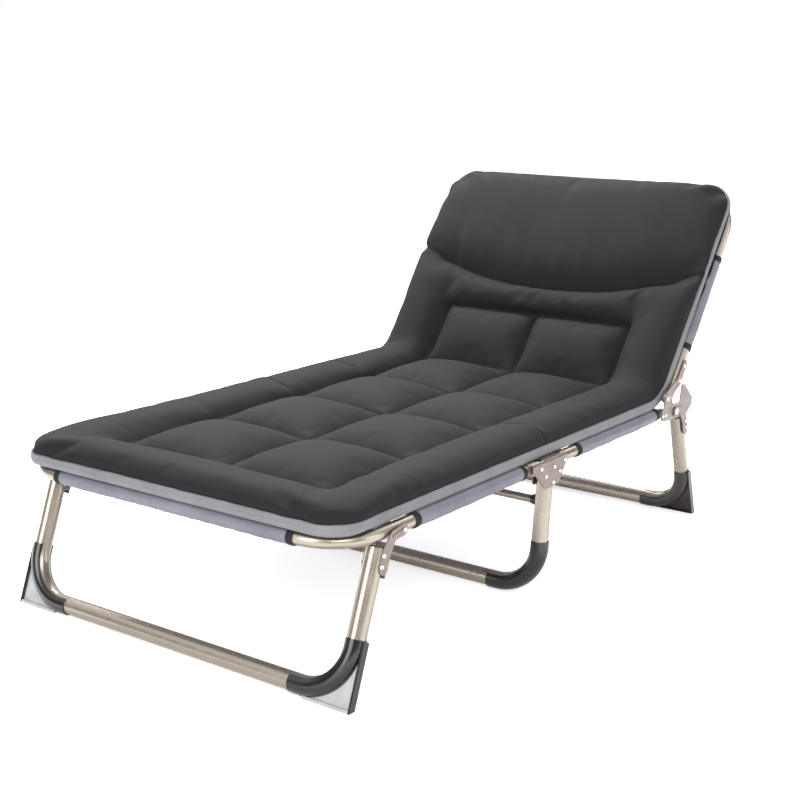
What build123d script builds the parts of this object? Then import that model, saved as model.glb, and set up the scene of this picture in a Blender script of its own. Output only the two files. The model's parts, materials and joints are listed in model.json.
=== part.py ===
from build123d import *
import math
import os

os.makedirs("parts", exist_ok=True)

# Folding cot with a padded top. Millimetres.
# X runs across the cot, Y along it with the head end at +Y, Z up from the floor.
# Places along the cot are counted from the foot rail and moved by foot_end.
foot_end = -687.23

# Frame tubes
half_width = 350.0
rail_height = 250.0
rail_radius = 11.0
rail_wall = 1.3
rail_corner = 85.0
leg_radius = 15.0
leg_wall = 1.5
leg_corner = 80.0
bar_height = 16.5

# Middle joint: the foot rail turns about foot_pivot and the seat rails about seat_pivot
foot_pivot = 540.0
seat_pivot = 623.0
rail_stub = 11.0

# Recliner joint
seat_rail_end = 1050.0
back_pivot = (1047.5, 283.0)
back_rail_start = 1056.0
back_rail_end = 1550.0
back_angle = 53.0

# Legs: place of the floor bar, lean of the uprights from the vertical, height of the top end
front_bar = 2.0
front_lean = 20.0
front_top = 232.0
front_pivot = (128.0, rail_height)
mid_bar = 566.0
mid_lean = 4.95
mid_top = 257.5
rear_bar = 1200.0
rear_lean = -17.6
rear_top = 229.0
rear_pivot = (1085.0, rail_height)
brace_height = 179.0
brace_radius = 7.0

# Sheet-metal plates, counted outwards from the centre plane of a rail
plate = 2.0
leg_plate_gap = leg_radius + 0.3
outer_plate_gap = leg_plate_gap + plate + 0.3
arm_plate_gap = rail_radius + 0.3
rivet_radius = 3.0
pin_radius = 4.0
running_gap = 0.08
head_radius = 4.0
head_height = 2.4
flat_head = 1.4

# Fabric: the deck and its sleeves, the pad and its binding
cloth = 1.3
sleeve_radius = rail_radius + 0.3 + cloth
deck_top = rail_height + sleeve_radius
deck_half = 322.0
pad_bottom = 264.0
pad_top = 302.0
pad_half = 352.0
pad_overhang = 12.0
pad_corner = 54.0
binding_height = 16.0
binding = 2.0
fabric_split = 0.5 * (foot_pivot + seat_pivot)
pad_slant = (pad_top - pad_bottom) * math.tan(math.radians(back_angle / 2))
pillow_start = 1400.0
pillow_extra = 8.0
cuff = 12.0

foot_sleeve = (181.0, 490.0)
seat_sleeve = (698.0, 1009.0)
back_sleeve = (1189.0, 1390.0)
end_sleeve_half = 250.0


def at(x, s, z):
    return Pos(x, s + foot_end, z)


def tube(points, corner, radius, wall):
    """A round tube along points in (x, along, z) with equal bends."""
    places = [(x, s + foot_end, z) for x, s, z in points]
    if len(places) == 2:
        path = Line(*places)
    else:
        path = FilletPolyline(*places, radius=corner)
    start = Plane(origin=path @ 0, z_dir=path % 0)
    ring = Circle(radius) - Circle(radius - wall)
    return sweep(start * ring, path=path)


def rod(x0, x1, s, z, radius):
    """A solid cylinder across the cot from x0 to x1."""
    place = Plane(origin=(x0, s + foot_end, z), z_dir=(1, 0, 0))
    return extrude(place * Circle(radius), amount=x1 - x0)


def sleeve(x, s0, s1, inner, outer):
    """A hollow cylinder lengthwise round the rail at x."""
    place = Plane(origin=(x, s0 + foot_end, rail_height), z_dir=(0, 1, 0))
    return extrude(place * (Circle(outer) - Circle(inner)), amount=s1 - s0)


def cross_sleeve(s, x0, x1, inner, outer):
    """A hollow cylinder across the cot round an end rail."""
    return rod(x0, x1, s, rail_height, outer) - rod(x0 - 1, x1 + 1, s, rail_height, inner)


def rivet(x0, x1, s, z, radius, height=head_height):
    """A rivet with a low domed head at both ends, gripping from x0 to x1."""
    body = rod(x0 - 0.1, x1 + 0.1, s, z, radius)
    head = head_radius * radius / rivet_radius
    for face, way in ((x0, -1), (x1, 1)):
        place = Plane(origin=(face, s + foot_end, z), z_dir=(way, 0, 0))
        dome = extrude(place * Circle(head), amount=height)
        rim = dome.edges().sort_by(Axis.X)[0 if way < 0 else -1]
        body += fillet(rim, height * 0.8)
    return body


def side_plate(outline, x0, thickness):
    """A flat plate in the lengthwise upright plane, with its near face at x0."""
    place = Plane(origin=(x0, foot_end, 0), x_dir=(0, 1, 0), z_dir=(1, 0, 0))
    return extrude(place * outline, amount=thickness)


def strap(stations):
    """An outline joining round stations given as (along, z, radius)."""
    outline = None
    for (s0, z0, r0), (s1, z1, r1) in zip(stations, stations[1:]):
        rims = (Pos(s0, z0) * Circle(r0)).edges() + (Pos(s1, z1) * Circle(r1)).edges()
        link = make_hull(rims)
        outline = link if outline is None else outline + link
    return outline


def box(x0, x1, s0, s1, z0, z1):
    size = Box(x1 - x0, s1 - s0, z1 - z0)
    return at((x0 + x1) / 2, (s0 + s1) / 2, (z0 + z1) / 2) * size


def left_of(part):
    return mirror(part, about=Plane.YZ)


def reclined(part):
    """Turns a part of the back from the flat position to its raised rest."""
    s, z = back_pivot
    there = Pos(0, s + foot_end, z)
    return there * Rot(back_angle, 0, 0) * there.inverse() * part


def on_leg(part, bar, lean):
    """Places a part drawn in an upright leg's own plane, floor bar at its origin."""
    return Pos(0, bar + foot_end, bar_height) * Rot(-lean, 0, 0) * part


def save(name, part):
    export_step(part, f"parts/{name}.step")


def save_pair(name, part):
    save(f"{name}_right", part)
    save(f"{name}_left", left_of(part))


def group(parts):
    return Compound(children=list(parts))


def both(parts):
    return [p for part in parts for p in (part, left_of(part))]


# ---------------------------------------------------------------- rails
rail_axis = [
    (half_width, foot_pivot + rail_stub, rail_height),
    (half_width, 0, rail_height),
    (-half_width, 0, rail_height),
    (-half_width, foot_pivot + rail_stub, rail_height),
]
foot_rail = tube(rail_axis, rail_corner, rail_radius, rail_wall)
for s in (foot_pivot, front_pivot[0]):
    foot_rail -= rod(-400, 400, s, rail_height, rivet_radius)
save("foot_rail", foot_rail)

seat_rail = tube(
    [
        (half_width, seat_pivot - rail_stub, rail_height),
        (half_width, seat_rail_end, rail_height),
    ],
    0,
    rail_radius,
    rail_wall,
)
plate_rivets = (seat_rail_end - 22.0, seat_rail_end - 9.0)
for s in (seat_pivot,) + plate_rivets:
    seat_rail -= rod(300, 400, s, rail_height, rivet_radius)
save_pair("seat_rail", seat_rail)

back_rail = tube(
    [
        (half_width, back_rail_start, rail_height),
        (half_width, back_rail_end, rail_height),
        (-half_width, back_rail_end, rail_height),
        (-half_width, back_rail_start, rail_height),
    ],
    rail_corner,
    rail_radius,
    rail_wall,
)
arm_rivets = (back_rail_start + 50.0, back_rail_start + 84.0)
for s in arm_rivets:
    back_rail -= rod(-400, 400, s, rail_height, rivet_radius)
save("back_rail", reclined(back_rail))


def rail_plug(s, way):
    """A plastic plug in the open end of a rail."""
    plug_radius = rail_radius - rail_wall - 0.05
    place = Plane(origin=(half_width, s + foot_end, rail_height), z_dir=(0, way, 0))
    stem = extrude(place * Circle(plug_radius), amount=-5.0)
    return stem + extrude(place * Circle(rail_radius - 0.3), amount=1.0)


save("foot_rail_plugs", group(both([rail_plug(foot_pivot + rail_stub, 1)])))
seat_plugs = [rail_plug(seat_pivot - rail_stub, -1), rail_plug(seat_rail_end, 1)]
save("seat_rail_plugs", group(both(seat_plugs)))
save("back_rail_plugs", group(reclined(p) for p in both([rail_plug(back_rail_start, -1)])))


# ---------------------------------------------------------------- legs
def leg_length(top, lean):
    return (top - bar_height) / math.cos(math.radians(lean))


def leg_tube(bar, lean, top, rivet_heights):
    """A U of tube: two uprights and the bar on the floor."""
    length = leg_length(top, lean)
    path = FilletPolyline(
        (half_width, 0, length),
        (half_width, 0, 0),
        (-half_width, 0, 0),
        (-half_width, 0, length),
        radius=leg_corner,
    )
    start = Plane(origin=path @ 0, z_dir=path % 0)
    ring = Circle(leg_radius) - Circle(leg_radius - leg_wall)
    leg = on_leg(sweep(start * ring, path=path), bar, lean)
    for height in rivet_heights:
        s = bar + (height - bar_height) * math.tan(math.radians(lean))
        leg -= rod(-400, 400, s, height, rivet_radius)
    return leg


def leg_point(bar, lean, height):
    """Place along the cot of a leg's centre line at a height."""
    return bar + (height - bar_height) * math.tan(math.radians(lean))


def leg_plug(bar, lean, top):
    """A plastic plug in the open top end of an upright."""
    length = leg_length(top, lean)
    stem = Pos(half_width, 0, length - 2.5) * Cylinder(leg_radius - leg_wall - 0.05, 5.0)
    lid = Pos(half_width, 0, length + 0.5) * Cylinder(leg_radius - 0.3, 1.0)
    return on_leg(stem + lid, bar, lean)


cap_inner = leg_radius + 0.05
cap_outer = leg_radius + 2.0
cap_slot = 98.0
above_floor = Pos(0, 0, 500) * Box(2000, 4000, 1000)


def cap_shell():
    """The open shell that wraps a leg's bend, with its slot along the inside."""
    centre = (half_width - leg_corner, 0, leg_corner)
    slot_half = 2 * cap_outer * math.tan(math.radians(cap_slot / 2))
    slot = make_face(
        Polyline((0, 0), (-2 * cap_outer, slot_half), (-2 * cap_outer, -slot_half), close=True)
    )
    open_ring = Circle(cap_outer) - Circle(cap_inner) - slot
    place = Plane(origin=(half_width, 0, leg_corner), z_dir=(0, 0, 1))
    bend = revolve(place * open_ring, axis=Axis(centre, (0, 1, 0)), revolution_arc=90)
    upright = extrude(place * open_ring, amount=10.0)
    low = Plane(origin=(half_width - leg_corner, 0, 0), x_dir=(0, 0, -1), z_dir=(-1, 0, 0))
    return bend + upright + extrude(low * open_ring, amount=18.0)


def cap_web(lean):
    """The thin triangle between a cap and the corner of its foot."""
    floor = -bar_height / math.cos(math.radians(lean)) - 3.0
    x0 = half_width - leg_corner
    x1 = half_width + cap_outer + 0.5
    height = leg_corner - floor
    sheet = Pos((x0 + x1) / 2, 0, floor + height / 2) * Box(x1 - x0, 3.0, height)
    hub = Pos(x0, 0, leg_corner) * Rot(90, 0, 0) * Cylinder(leg_corner + cap_outer - 0.6, 10.0)
    return sheet - hub


def cap_rib(lean):
    """The rib down the outer edge of a foot."""
    floor = -bar_height / math.cos(math.radians(lean)) - 3.0
    x1 = half_width + cap_outer + 3.0
    height = leg_corner + 8.0 - floor
    return Pos(x1 - 1.75, 0, floor + height / 2) * Box(3.5, 13.0, height)


def cap_flange(lean):
    """The flange along the floor between a leg's bend and the rib."""
    floor = -bar_height / math.cos(math.radians(lean)) - 3.0
    x1 = half_width + cap_outer + 3.0
    return Pos(x1 - 45.0, 0, floor + 2.75) * Box(90.0, 13.0, 5.5)


def tube_space(length):
    """The room that the leg tube takes, cut out of the ribs beside it."""
    x0 = half_width - leg_corner
    upright = Pos(half_width, 0, leg_corner + length / 2) * Cylinder(cap_inner, length)
    bar = Pos(x0 - 100, 0, 0) * Rot(0, 90, 0) * Cylinder(cap_inner, 200)
    bend = Pos(x0, 0, leg_corner) * Rot(90, 0, 0) * Torus(leg_corner, cap_inner)
    return upright + bar + bend


front_holes = (222.0, 206.0)
mid_holes = (245.0, 217.0)
rear_holes = (220.0, 205.0)
front_leg_tube = leg_tube(front_bar, front_lean, front_top, front_holes)
mid_leg_tube = leg_tube(mid_bar, mid_lean, mid_top, mid_holes)
rear_leg_tube = leg_tube(rear_bar, rear_lean, rear_top, rear_holes)
save("front_leg_tube", front_leg_tube)
save("mid_leg_tube", mid_leg_tube)
save("rear_leg_tube", rear_leg_tube)
save("front_leg_plugs", group(both([leg_plug(front_bar, front_lean, front_top)])))
save("mid_leg_plugs", group(both([leg_plug(mid_bar, mid_lean, mid_top)])))
save("rear_leg_plugs", group(both([leg_plug(rear_bar, rear_lean, rear_top)])))

shell = cap_shell()
room = tube_space(40.0)
front_cap = shell + (cap_rib(front_lean) - room)
front_corner = cap_web(front_lean) + (cap_flange(front_lean) - room)
front_web = (front_corner - front_cap).solids().sort_by(SortBy.VOLUME)[-1]
rear_ribs = cap_rib(rear_lean) + cap_flange(rear_lean)
rear_cap = shell + (rear_ribs - room) + cap_web(rear_lean)
save_pair("front_foot_cap", on_leg(front_cap, front_bar, front_lean) & above_floor)
save_pair("front_foot_web", on_leg(front_web, front_bar, front_lean) & above_floor)
save_pair("mid_foot_cap", on_leg(shell, mid_bar, mid_lean) & above_floor)
save_pair("rear_foot_cap", on_leg(rear_cap, rear_bar, rear_lean) & above_floor)

# Brace across the middle leg, with a short flared plastic collar against each upright
brace_s = leg_point(mid_bar, mid_lean, brace_height)
ferrule_start = half_width - leg_radius - 7.0
brace_bar = rod(-ferrule_start, ferrule_start, brace_s, brace_height, brace_radius)
brace_bar -= rod(-400, 400, brace_s, brace_height, brace_radius - rail_wall)
save("brace_bar", brace_bar)
flare_axis = Plane(origin=(ferrule_start, brace_s + foot_end, brace_height), z_dir=(1, 0, 0))
flare = flare_axis * Pos(0, 0, 7) * Cone(brace_radius + 1.5, brace_radius + 5.0, 14.0)
upright_room = Pos(half_width, 0, 160) * Cylinder(cap_inner, 200)
save_pair("brace_ferrule", flare - on_leg(upright_room, mid_bar, mid_lean))


# ---------------------------------------------------------------- middle joint
def polygon(points, corner):
    """A closed outline with every corner rounded alike."""
    face = make_face(Polyline(*points, close=True))
    return fillet(face.vertices(), corner)


top_z = rail_height + rail_radius + 0.4 + plate
mid_low = 209.0
mid_outline = polygon(
    [
        (foot_pivot - 29, 251),
        (foot_pivot - 29, top_z),
        (seat_pivot + 8, top_z),
        (seat_pivot + 8, 246),
        (seat_pivot - 4, 232),
        (seat_pivot - 20, mid_low + 3),
        (foot_pivot + 29, mid_low),
        (foot_pivot + 14, mid_low + 1),
    ],
    3.5,
)
inner_outline = polygon(
    [
        (foot_pivot - 14, 243),
        (foot_pivot - 14, top_z),
        (seat_pivot + 8, top_z),
        (seat_pivot + 8, 240),
        (fabric_split + 20, 232),
        (fabric_split + 18, mid_low),
        (fabric_split - 12, mid_low),
        (fabric_split - 14, 232),
    ],
    3.0,
)
outer_wall = side_plate(mid_outline, half_width + leg_plate_gap, plate)
inner_wall = side_plate(inner_outline, half_width - leg_plate_gap - plate, plate)
web = box(
    half_width - leg_plate_gap - plate / 2,
    half_width + leg_plate_gap + plate / 2,
    foot_pivot + 14.5,
    seat_pivot - 14.5,
    top_z - plate,
    top_z,
)
fold_edge = 5.5
fold_low = top_z - fold_edge
wall_x = half_width + leg_plate_gap
fold_ends = (foot_pivot - 29, seat_pivot + 8)


def outer_top_edge(block):
    """The upper lengthwise edge of a block on its outer side."""
    return block.edges().filter_by(Axis.Y).sort_by(Axis.Z)[-2:].sort_by(Axis.X)[-1]


fold = box(half_width + rail_radius + 0.3, wall_x + plate, *fold_ends, top_z - 12.0, top_z)
fold = fillet(outer_top_edge(fold), fold_edge)
under = box(300, wall_x, 400, 800, top_z - 20.0, top_z - plate)
under = fillet(outer_top_edge(under), fold_edge - plate)
fold -= under + box(300, 400, 400, 800, 200, fold_low)
fold -= box(300, half_width + rail_radius + 2.2, 400, 800, 200, 300)
outer_wall -= box(300, 400, 400, 800, fold_low, top_z + 10)
mid_bracket = outer_wall + fold + inner_wall + web
for s in (foot_pivot, seat_pivot):
    mid_bracket -= rod(300, 400, s, rail_height, rivet_radius + running_gap)
spacer_places = ((foot_pivot + 17, 233.0), (seat_pivot - 17, 233.0))
leg_places = [(leg_point(mid_bar, mid_lean, z), z) for z in mid_holes]
for s, z in list(spacer_places) + leg_places:
    mid_bracket -= rod(300, 400, s, z, rivet_radius)
save_pair("mid_bracket", mid_bracket)

x_in = half_width - leg_plate_gap - plate
x_out = half_width + leg_plate_gap + plate
mid_rivets = [rivet(x_in, x_out, s, z, rivet_radius) for s, z in leg_places]
mid_rivets += [rivet(x_in, x_out, s, z, rivet_radius) for s, z in spacer_places]
save("mid_bracket_rivets", group(both(mid_rivets)))
spacers = []
for s, z in spacer_places:
    sleeve_wall = rod(x_in + plate, x_out - plate, s, z, 4.2)
    spacers.append(sleeve_wall - rod(300, 400, s, z, rivet_radius))
save("mid_bracket_spacers", group(both(spacers)))


def saddle(s0, s1):
    """A half-round cover pressed over the end of a rail."""
    cover = sleeve(half_width, s0, s1, rail_radius + 0.05, rail_radius + 2.0)
    cover &= box(300, 400, s0 - 1, s1 + 1, rail_height - 4, rail_height + 30)
    for s in (foot_pivot, seat_pivot):
        cover -= rod(300, 400, s, rail_height, rivet_radius)
    return cover


save_pair("foot_saddle", saddle(foot_pivot - 28, foot_pivot - 1))
save_pair("seat_saddle", saddle(seat_pivot + 1, seat_pivot + 16))


# ---------------------------------------------------------------- leg brackets
def leg_bracket(bar, lean, pivot, holes, shift):
    """A plate on the outside of an upright with an arm up to its pivot."""
    top = (leg_point(bar, lean, holes[0] + 4) + shift, holes[0] + 4)
    low = (leg_point(bar, lean, holes[1] - 4) + shift, holes[1] - 4)
    knee = (pivot[0] + 0.62 * (top[0] - pivot[0]), rail_height - 3)
    return strap([(*low, 10.5), (*top, 10.5), (*knee, 8.5), (*pivot, 9.5)])


front_outline = leg_bracket(front_bar, front_lean, front_pivot, front_holes, 7.0)
front_web_strip = on_leg(
    Pos(half_width, leg_radius + 1.2, leg_length(206, front_lean)) * Box(31, plate, 34),
    front_bar,
    front_lean,
)
front_bracket = side_plate(front_outline, half_width + leg_radius + 0.1, plate)
front_bracket += side_plate(front_outline, half_width - leg_radius - 0.1 - plate, plate)
front_bracket += front_web_strip
front_rib = strap([(*front_pivot, 2.5), (front_pivot[0] - 26, rail_height - 3.5, 2.5)])
front_bracket += side_plate(front_rib, half_width + leg_radius + plate, 1.2)
front_bracket -= rod(300, 400, *front_pivot, rivet_radius + running_gap)
front_leg_places = [(leg_point(front_bar, front_lean, z), z) for z in front_holes]
for s, z in front_leg_places:
    front_bracket -= rod(300, 400, s, z, rivet_radius)
save_pair("front_leg_bracket", front_bracket)

x_in = half_width - leg_radius - 0.1 - plate
x_out = half_width + leg_radius + 0.1 + plate
front_rivets = [rivet(x_in, x_out, s, z, rivet_radius) for s, z in front_leg_places]
save("front_leg_rivets", group(both(front_rivets)))

rear_x = half_width + outer_plate_gap
rear_outline = leg_bracket(rear_bar, rear_lean, rear_pivot, rear_holes, -2.0)
rear_bracket = side_plate(rear_outline, rear_x, plate)
rear_bracket -= rod(300, 400, *rear_pivot, pin_radius + running_gap)
rear_leg_places = [(leg_point(rear_bar, rear_lean, z), z) for z in rear_holes]
for s, z in rear_leg_places:
    rear_bracket -= rod(300, 400, s, z, rivet_radius)
save_pair("rear_leg_bracket", rear_bracket)
rear_fixings = []
for s, z in rear_leg_places:
    rear_fixings.append(rivet(half_width - leg_radius, rear_x + plate, s, z, rivet_radius))
    washer = rod(half_width + leg_radius, rear_x, s, z, 5.5)
    rear_fixings.append(washer - rod(300, 400, s, z, rivet_radius))
save("rear_leg_fixings", group(both(rear_fixings)))

# ---------------------------------------------------------------- recliner
pivot_s, pivot_z = back_pivot
base_outline = polygon(
    [
        (seat_rail_end - 27, 240),
        (seat_rail_end - 27, 260),
        (seat_rail_end - 18, 266),
        (pivot_s - 12, pivot_z + 8),
        (pivot_s + 2, pivot_z + 12),
        (pivot_s + 14, pivot_z + 2),
        (pivot_s + 28, pivot_z - 16),
        (pivot_s + 60, pivot_z - 17),
        (pivot_s + 66, pivot_z + 18),
        (pivot_s + 76, pivot_z + 20),
        (pivot_s + 122, pivot_z - 18),
        (pivot_s + 119, pivot_z - 32),
        (pivot_s + 96, pivot_z - 50),
        (pivot_s + 30, pivot_z - 48),
        (seat_rail_end - 5, 237),
    ],
    3.0,
)
base_x = half_width + leg_plate_gap
base_plate = side_plate(base_outline, base_x, plate)
for s in plate_rivets:
    base_plate -= rod(300, 400, s, rail_height, rivet_radius)
for s, z in (back_pivot, rear_pivot):
    base_plate -= rod(300, 400, s, z, pin_radius)
save_pair("recliner_base_plate", base_plate)

arm_x = half_width + arm_plate_gap
arm_outline = strap(
    [
        (pivot_s, pivot_z, 11.0),
        (pivot_s + 30, pivot_z - 18, 10.0),
        (arm_rivets[0], rail_height, 9.5),
        (arm_rivets[1] + 6, rail_height, 8.5),
    ]
)
arm_plate = side_plate(arm_outline, arm_x, plate)
arm_plate -= rod(300, 400, *back_pivot, pin_radius + running_gap)
for s in arm_rivets:
    arm_plate -= rod(300, 400, s, rail_height, rivet_radius)
save_pair("back_arm_plate", reclined(arm_plate))
back_fixings = []
for s in arm_rivets:
    washer = rod(half_width + rail_radius, arm_x, s, rail_height, 5.0)
    back_fixings.append(washer - rod(300, 400, s, rail_height, rivet_radius))
    x_in = half_width - rail_radius
    back_fixings.append(rivet(x_in, arm_x + plate, s, rail_height, rivet_radius, flat_head))
save("back_arm_fixings", group(reclined(f) for f in both(back_fixings)))

# Rivets and pins fixed to the foot section
x_in = half_width - leg_plate_gap - plate
x_out = half_width + leg_plate_gap + plate
foot_pins = [
    rivet(x_in, x_out, foot_pivot, rail_height, rivet_radius),
    rivet(x_in, x_out + 1.0, *front_pivot, rivet_radius),
]
save("foot_section_pins", group(both(foot_pins)))

# Rivets and pins fixed to the seat section
seat_pins = [rivet(x_in, x_out, seat_pivot, rail_height, rivet_radius)]
for s in plate_rivets:
    seat_pins.append(
        rivet(half_width - rail_radius, base_x + plate, s, rail_height, rivet_radius)
    )
seat_pins.append(rivet(arm_x - 0.3, base_x + plate, *back_pivot, pin_radius))
pin_low = rod(base_x, rear_x + plate + 0.2, *rear_pivot, pin_radius)
pin_head = rod(rear_x + plate + 0.2, rear_x + plate + 2.4, *rear_pivot, 6.5)
seat_pins.append(pin_low + pin_head)
save("seat_section_pins", group(both(seat_pins)))
plate_spacers = []
for s in plate_rivets:
    spacer = rod(half_width + rail_radius, base_x, s, rail_height, 5.5)
    plate_spacers.append(spacer - rod(300, 400, s, rail_height, rivet_radius))
save("recliner_spacers", group(both(plate_spacers)))


# ---------------------------------------------------------------- fabric deck
def deck(outline):
    """The flat cloth between the rails, from an outline in (x, along)."""
    face = make_face(Polyline(*outline, close=True))
    place = Pos(0, foot_end, deck_top - cloth)
    return extrude(place * face, amount=cloth)


def side_sleeves(span):
    s0, s1 = span
    return both([sleeve(half_width, s0, s1, rail_radius + 0.3, sleeve_radius)])


def both_sides(points):
    """An outline from its right-hand points and their mirror images."""
    return points + [(-x, s) for x, s in reversed(points)]


foot_deck = deck(
    both_sides(
        [
            (end_sleeve_half, 0),
            (half_width, foot_sleeve[0]),
            (half_width, foot_sleeve[1]),
            (deck_half, foot_sleeve[1] + 4),
            (deck_half, fabric_split - 0.5),
        ]
    )
)
seat_deck = deck(
    both_sides(
        [
            (deck_half, fabric_split + 0.5),
            (deck_half, seat_sleeve[0] - 4),
            (half_width, seat_sleeve[0]),
            (half_width, seat_sleeve[1]),
            (deck_half, seat_sleeve[1] + 4),
            (deck_half, pivot_s - 3),
        ]
    )
)
back_deck = deck(
    both_sides(
        [
            (deck_half, pivot_s + 4),
            (deck_half, back_sleeve[0] - 4),
            (half_width, back_sleeve[0]),
            (half_width, back_sleeve[1]),
            (end_sleeve_half, back_rail_end),
        ]
    )
)
foot_sling = foot_deck
for part in side_sleeves(foot_sleeve):
    foot_sling += part
foot_sling += cross_sleeve(
    0, -end_sleeve_half, end_sleeve_half, rail_radius + 0.3, sleeve_radius
)
seat_sling = seat_deck
for part in side_sleeves(seat_sleeve):
    seat_sling += part
back_sling = back_deck
for part in side_sleeves(back_sleeve):
    back_sling += part
back_sling += cross_sleeve(
    back_rail_end, -end_sleeve_half, end_sleeve_half, rail_radius + 0.3, sleeve_radius
)
save("foot_sling", foot_sling)
save("seat_sling", seat_sling)
save("back_sling", reclined(back_sling))


def cuffs(span):
    """Black tapes outside both ends of a pair of side sleeves."""
    s0, s1 = span
    rings = []
    for start in (s0 - cuff, s1):
        rings.append(sleeve(half_width, start, start + cuff, rail_radius + 0.1, sleeve_radius + 0.6))
    return both(rings)


def end_cuffs(s):
    """Black tapes at both ends of the sleeve on an end rail."""
    x0 = end_sleeve_half
    return both([cross_sleeve(s, x0, x0 + cuff, rail_radius + 0.1, sleeve_radius + 0.6)])


deck_room = box(-400, 400, -50, 1700, deck_top - cloth - 0.05, deck_top + 0.05)
foot_cuffs = [c - deck_room for c in cuffs(foot_sleeve) + end_cuffs(0)]
seat_cuffs = [c - deck_room for c in cuffs(seat_sleeve)]
back_cuffs = [c - deck_room for c in cuffs(back_sleeve) + end_cuffs(back_rail_end)]
save("foot_sleeve_cuffs", group(foot_cuffs))
save("seat_sleeve_cuffs", group(seat_cuffs))
save("back_sleeve_cuffs", group(reclined(c) for c in back_cuffs))


# ---------------------------------------------------------------- pad
def pad_block(s0, s1, half, corner_end, corner, z0, z1):
    """A flat block with its two outer corners rounded at the foot or head end."""
    block = box(-half, half, s0, s1, z0, z1)
    if corner_end == "none":
        return block
    corners = block.edges().filter_by(Axis.Z).sort_by(Axis.Y)
    chosen = corners[:2] if corner_end == "foot" else corners[-2:]
    return fillet(chosen, corner)


def slanted(s_at_pivot, way):
    """The space beyond the mitred pad joint at the recliner."""
    middle = (pad_top + pad_bottom) / 2
    place = Plane(
        origin=(0, s_at_pivot + foot_end, middle),
        x_dir=(1, 0, 0),
        z_dir=(0, way * math.cos(math.radians(back_angle / 2)), math.sin(math.radians(back_angle / 2))),
    )
    return extrude(place * Rectangle(900, 300), amount=200)


def pad_and_binding(s0, s1, end):
    """A stretch of the padded top and the tape sewn round its lower edge."""
    start = s0 + (binding if end == "foot" else 0)
    stop = s1 - (binding if end == "head" else 0)
    inner = pad_half - binding
    filling = pad_block(start, stop, inner, end, pad_corner - binding, pad_bottom, pad_top)
    tape_top = pad_bottom + binding_height
    tape = pad_block(s0, s1, pad_half, end, pad_corner, pad_bottom, tape_top)
    tape -= pad_block(start, stop, inner, end, pad_corner - binding, pad_bottom, tape_top)
    return filling, tape


joint_gap = 1.2
foot_pad, foot_tape = pad_and_binding(-pad_overhang, fabric_split - 0.5, "foot")
seat_pad, seat_tape = pad_and_binding(fabric_split + 0.5, pivot_s + 40, "none")
back_pad, back_tape = pad_and_binding(pivot_s - 40, pillow_start - 0.5, "none")
pillow, pillow_tape = pad_and_binding(pillow_start, back_rail_end + pad_overhang, "head")
beyond = slanted(pivot_s - joint_gap, 1)
before = slanted(pivot_s + joint_gap, -1)
seat_pad -= beyond
seat_tape -= beyond
back_pad -= before
back_tape -= before
pillow += pad_block(
    pillow_start + 20, back_rail_end - 10, pad_half - 30, "head", 70, pad_top - 1, pad_top + pillow_extra
)
back_tape = back_tape.solids() + pillow_tape.solids()
save("foot_pad", foot_pad)
save("seat_pad", seat_pad)
save("back_pad", reclined(back_pad))
save("pillow", reclined(pillow))
save("foot_pad_binding", foot_tape)
save("seat_pad_binding", group(seat_tape.solids()))
save("back_pad_binding", group(reclined(t) for t in back_tape))
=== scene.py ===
import json
import math
import bmesh
import bpy
import numpy as np
from mathutils import Matrix, Vector, noise


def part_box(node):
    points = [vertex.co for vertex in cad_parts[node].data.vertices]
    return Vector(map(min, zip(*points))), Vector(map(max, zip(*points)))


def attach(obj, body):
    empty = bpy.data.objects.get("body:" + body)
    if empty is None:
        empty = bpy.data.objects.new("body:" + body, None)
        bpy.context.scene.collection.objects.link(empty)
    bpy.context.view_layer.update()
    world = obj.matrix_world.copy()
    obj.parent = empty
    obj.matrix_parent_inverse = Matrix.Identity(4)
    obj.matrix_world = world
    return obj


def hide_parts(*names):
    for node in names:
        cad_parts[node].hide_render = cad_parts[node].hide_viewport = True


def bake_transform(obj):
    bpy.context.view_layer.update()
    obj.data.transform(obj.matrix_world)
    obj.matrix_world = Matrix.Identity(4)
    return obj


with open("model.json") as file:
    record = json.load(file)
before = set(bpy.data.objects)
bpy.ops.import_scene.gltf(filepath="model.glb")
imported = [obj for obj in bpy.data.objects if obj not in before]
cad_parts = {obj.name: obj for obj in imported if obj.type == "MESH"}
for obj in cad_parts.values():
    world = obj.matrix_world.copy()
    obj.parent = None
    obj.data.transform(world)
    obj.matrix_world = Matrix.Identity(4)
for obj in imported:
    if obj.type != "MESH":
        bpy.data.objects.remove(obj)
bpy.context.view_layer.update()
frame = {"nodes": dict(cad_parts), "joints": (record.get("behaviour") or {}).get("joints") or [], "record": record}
joints = {joint["name"]: joint for joint in frame["joints"]}

# Places and sizes that everything else hangs on, all read from the frame (metres)
railLow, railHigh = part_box("foot_rail")
railRadius = (railHigh[2] - railLow[2]) / 2
railZ = (railHigh[2] + railLow[2]) / 2
railX = railHigh[0] - railRadius
footEndY = railLow[1] + railRadius
footPivotY = joints["foot_fold"]["pos_m"][1]
seatPivotY = joints["seat_fold"]["pos_m"][1]
backPivot = joints["back_recline"]["pos_m"]
backAngle = -math.radians(joints["back_recline"]["range_deg"][0])
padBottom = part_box("foot_pad")[0][2]
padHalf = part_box("foot_pad_binding")[1][0]
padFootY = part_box("foot_pad_binding")[0][1]
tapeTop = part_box("foot_pad_binding")[1][2]
hingeSeamY = (footPivotY + seatPivotY) / 2


def flatFromBack(y, z):
    # Where a point of the raised back lies when the back is laid flat
    dy, dz = y - backPivot[1], z - backPivot[2]
    c, s = math.cos(backAngle), math.sin(backAngle)
    return backPivot[1] + dy * c + dz * s, backPivot[2] - dy * s + dz * c


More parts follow.
